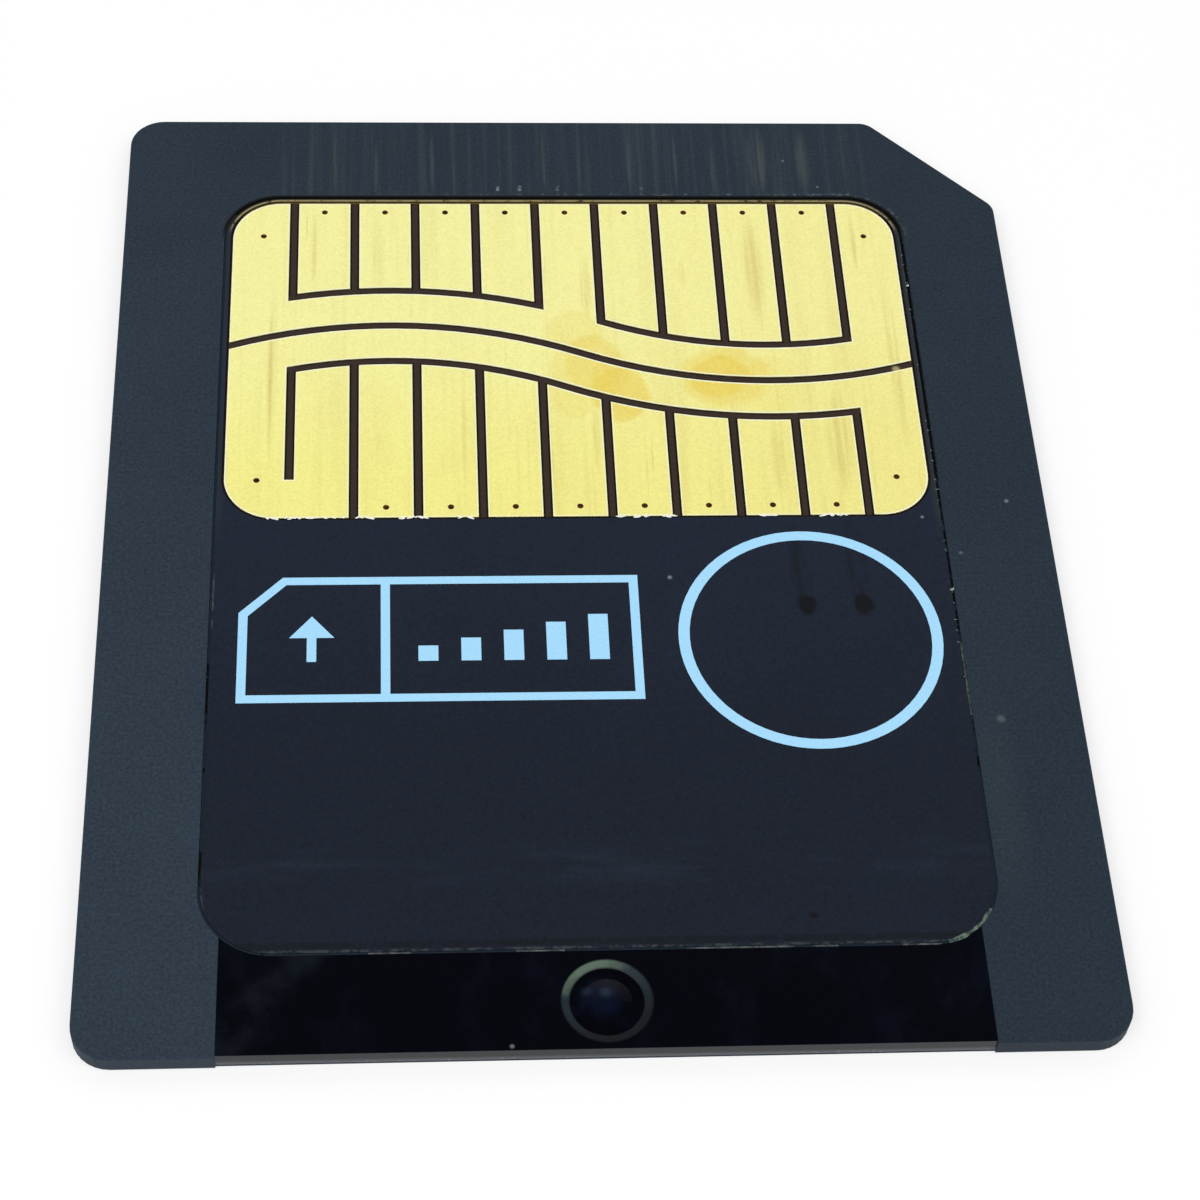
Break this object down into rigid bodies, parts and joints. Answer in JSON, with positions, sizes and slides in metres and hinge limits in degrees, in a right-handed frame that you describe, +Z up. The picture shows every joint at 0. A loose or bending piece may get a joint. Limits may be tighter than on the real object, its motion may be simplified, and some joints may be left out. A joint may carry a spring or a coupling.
{
  "type": "flash memory card",
  "caption": "Thin rectangular flash memory card with one corner cut off, gold contact pads set flush in a bonded module, printed marks and a polished moulding strip.",
  "frame": {"origin": "middle of the back face, which is the face the card lies on", "axes": "+Z up out of the contact face, +Y along the card towards the contact end, +X across the card towards the cut corner"},
  "size_m": [0.037, 0.045, 0.0008],
  "materials": {
    "card_black": "fine matt moulding, with a polished strip behind the contact module",
    "bond_film": "thin dry adhesive film",
    "board": "dark glass-epoxy board",
    "resist": "matt black solder resist",
    "gold": "pale gold plating, satin and worn",
    "via_fill": "dark resin filling",
    "copper": "bare etched copper",
    "silicon": "ground silicon",
    "chip_film": "thin adhesive film",
    "gold_wire": "drawn gold wire",
    "resin": "moulded black epoxy",
    "ink": "light blue printing ink"
  },
  "bodies": {
    "root": {"base_card": "card_black", "bond_film": "bond_film", "module_board": "board", "resist_film": "resist", "contact_2": "gold", "contact_3": "gold", "contact_4": "gold", "contact_5": "gold", "contact_6": "gold", "contact_7": "gold", "contact_8": "gold", "contact_9": "gold", "contact_13": "gold", "contact_14": "gold", "contact_15": "gold", "contact_16": "gold", "contact_18": "gold", "contact_19": "gold", "contact_20": "gold", "contact_21": "gold", "contact_power": "gold", "contact_ground": "gold", "via_plugs": "via_fill", "inner_copper": "copper", "memory_chip_front": "silicon", "memory_chip_rear": "silicon", "chip_film_front": "chip_film", "chip_film_rear": "chip_film", "bond_wires_front": "gold_wire", "bond_wires_rear": "gold_wire", "resin_cap": "resin", "printed_frame": "ink", "printed_arrow": "ink", "printed_bars": "ink", "printed_ring": "ink"}
  },
  "joints": []
}
